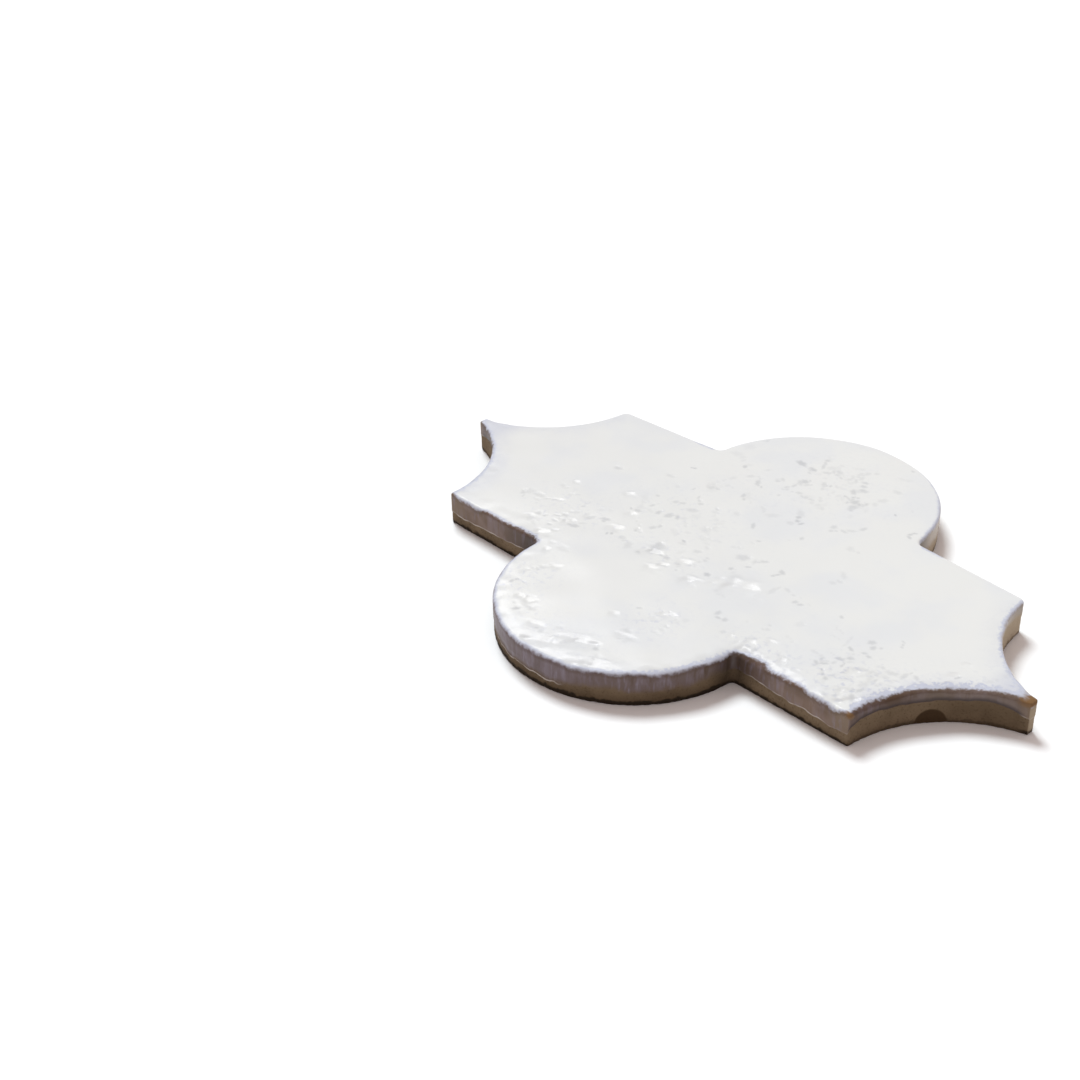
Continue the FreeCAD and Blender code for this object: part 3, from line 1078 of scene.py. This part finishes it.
class ARABESQUE_OT_add_tile(bpy.types.Operator):
    """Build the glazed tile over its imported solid"""

    bl_idname = "arabesque.add_tile"
    bl_label = "Add tile"

    def execute(self, context):
        sizes, finish = context.scene.tile_sizes, context.scene.glaze_finish
        mesh, plan = tile_mesh(sizes, finish)
        add_wear(mesh, sizes, plan)
        group = clay_body()
        mesh.materials.append(glazed_stoneware(finish, group))
        mesh.materials.append(bare_clay(finish, group))
        tile = bpy.data.objects.new("glazed_tile", mesh)
        context.collection.objects.link(tile)
        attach(tile, BODY)
        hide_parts(NODE)
        return {"FINISHED"}


class ARABESQUE_OT_set_stage(bpy.types.Operator):
    """Lay the floor, light the room and place the camera"""

    bl_idname = "arabesque.set_stage"
    bl_label = "Set stage"

    def execute(self, context):
        stage = context.scene.stage_setup
        self.lay_floor(context, stage)
        self.light(context, stage)
        self.place_camera(context, stage)
        context.scene.view_settings.view_transform = "Standard"
        return {"FINISHED"}

    def lay_floor(self, context, stage):
        half = stage.floor_size / 2
        mesh = bpy.data.meshes.new("floor")
        corners = [(-half, -half, 0), (half, -half, 0), (half, half, 0), (-half, half, 0)]
        mesh.from_pydata(corners, [], [(0, 1, 2, 3)])
        material, tree, shader = new_material("pale floor")
        matte = {"Base Color": stage.floor_colour, "Roughness": 1.0, "Specular IOR Level": 0.0}
        feed(tree, shader, matte)
        mesh.materials.append(material)
        floor = bpy.data.objects.new("floor", mesh)
        context.collection.objects.link(floor)

    def light(self, context, stage):
        world = bpy.data.worlds.new("pale room")
        world.use_nodes = True
        tree = world.node_tree
        tree.nodes.clear()
        lit = {"Color": stage.room_colour, "Strength": stage.room_strength}
        room = add_node(tree, "ShaderNodeBackground", lit)
        backdrop = add_node(tree, "ShaderNodeBackground", {"Color": stage.backdrop_colour})
        seen = add_node(tree, "ShaderNodeLightPath").outputs["Is Camera Ray"]
        shown = add_node(tree, "ShaderNodeMixShader", {0: seen, 1: room.outputs[0], 2: backdrop.outputs[0]})
        add_node(tree, "ShaderNodeOutputWorld", {"Surface": shown.outputs[0]})
        context.scene.world = world
        soft = self.add_lamp(context, "soft light", stage.light_azimuth, stage.light_elevation)
        soft.data.energy, soft.data.angle = stage.light_strength, stage.light_spread
        soft.data.color = stage.light_colour[:3]
        soft.visible_glossy = False
        panel = self.add_lamp(context, "sheen panel", stage.sheen_azimuth, stage.sheen_elevation)
        panel.data.energy, panel.data.angle = stage.sheen_strength, stage.sheen_spread
        panel.visible_diffuse = False

    def add_lamp(self, context, name, azimuth, elevation):
        """A far light that shines from this direction."""
        lamp = bpy.data.objects.new(name, bpy.data.lights.new(name, "SUN"))
        level = math.cos(elevation)
        lamp.location = level * math.cos(azimuth), level * math.sin(azimuth), math.sin(elevation)
        lamp.rotation_mode = "QUATERNION"
        lamp.rotation_quaternion = lamp.location.to_track_quat("Z", "Y")
        context.collection.objects.link(lamp)
        return lamp

    def place_camera(self, context, stage):
        turn, level = stage.azimuth, math.cos(stage.elevation)
        back = Vector((math.sin(turn) * level, -math.cos(turn) * level, math.sin(stage.elevation)))
        right = Vector((math.cos(turn), math.sin(turn), 0))
        up = back.cross(right)
        turned = math.cos(stage.roll) * right + math.sin(stage.roll) * up
        upright = math.cos(stage.roll) * up - math.sin(stage.roll) * right
        lens = bpy.data.cameras.new("camera")
        lens.lens = stage.lens
        lens.clip_start, lens.clip_end = 0.01, 100
        camera = bpy.data.objects.new("camera", lens)
        facing = Matrix((turned, upright, back)).transposed().to_4x4()
        camera.matrix_world = Matrix.Translation(Vector(stage.target) + back * stage.distance) @ facing
        context.collection.objects.link(camera)
        context.scene.camera = camera


class ARABESQUE_PT_panel(bpy.types.Panel):
    """Sizes, finish and stage of the tile"""

    bl_idname = "ARABESQUE_PT_panel"
    bl_label = "Arabesque tile"
    bl_space_type = "VIEW_3D"
    bl_region_type = "UI"
    bl_category = "Arabesque tile"

    def draw(self, context):
        for group in (context.scene.tile_sizes, context.scene.glaze_finish, context.scene.stage_setup):
            box = self.layout.box()
            for name in group.__annotations__:
                box.prop(group, name)
        self.layout.operator(ARABESQUE_OT_add_tile.bl_idname)
        self.layout.operator(ARABESQUE_OT_set_stage.bl_idname)


CLASSES = (
    TileSizes, GlazeFinish, StageSetup,
    ARABESQUE_OT_add_tile, ARABESQUE_OT_set_stage, ARABESQUE_PT_panel)


def register():
    for kind in CLASSES:
        bpy.utils.register_class(kind)
    bpy.types.Scene.tile_sizes = PointerProperty(type=TileSizes)
    bpy.types.Scene.glaze_finish = PointerProperty(type=GlazeFinish)
    bpy.types.Scene.stage_setup = PointerProperty(type=StageSetup)


def unregister():
    del bpy.types.Scene.stage_setup
    del bpy.types.Scene.glaze_finish
    del bpy.types.Scene.tile_sizes
    for kind in reversed(CLASSES):
        bpy.utils.unregister_class(kind)


def main():
    register()
    bpy.ops.arabesque.add_tile()
    bpy.ops.arabesque.set_stage()


if __name__ == "__main__":
    main()
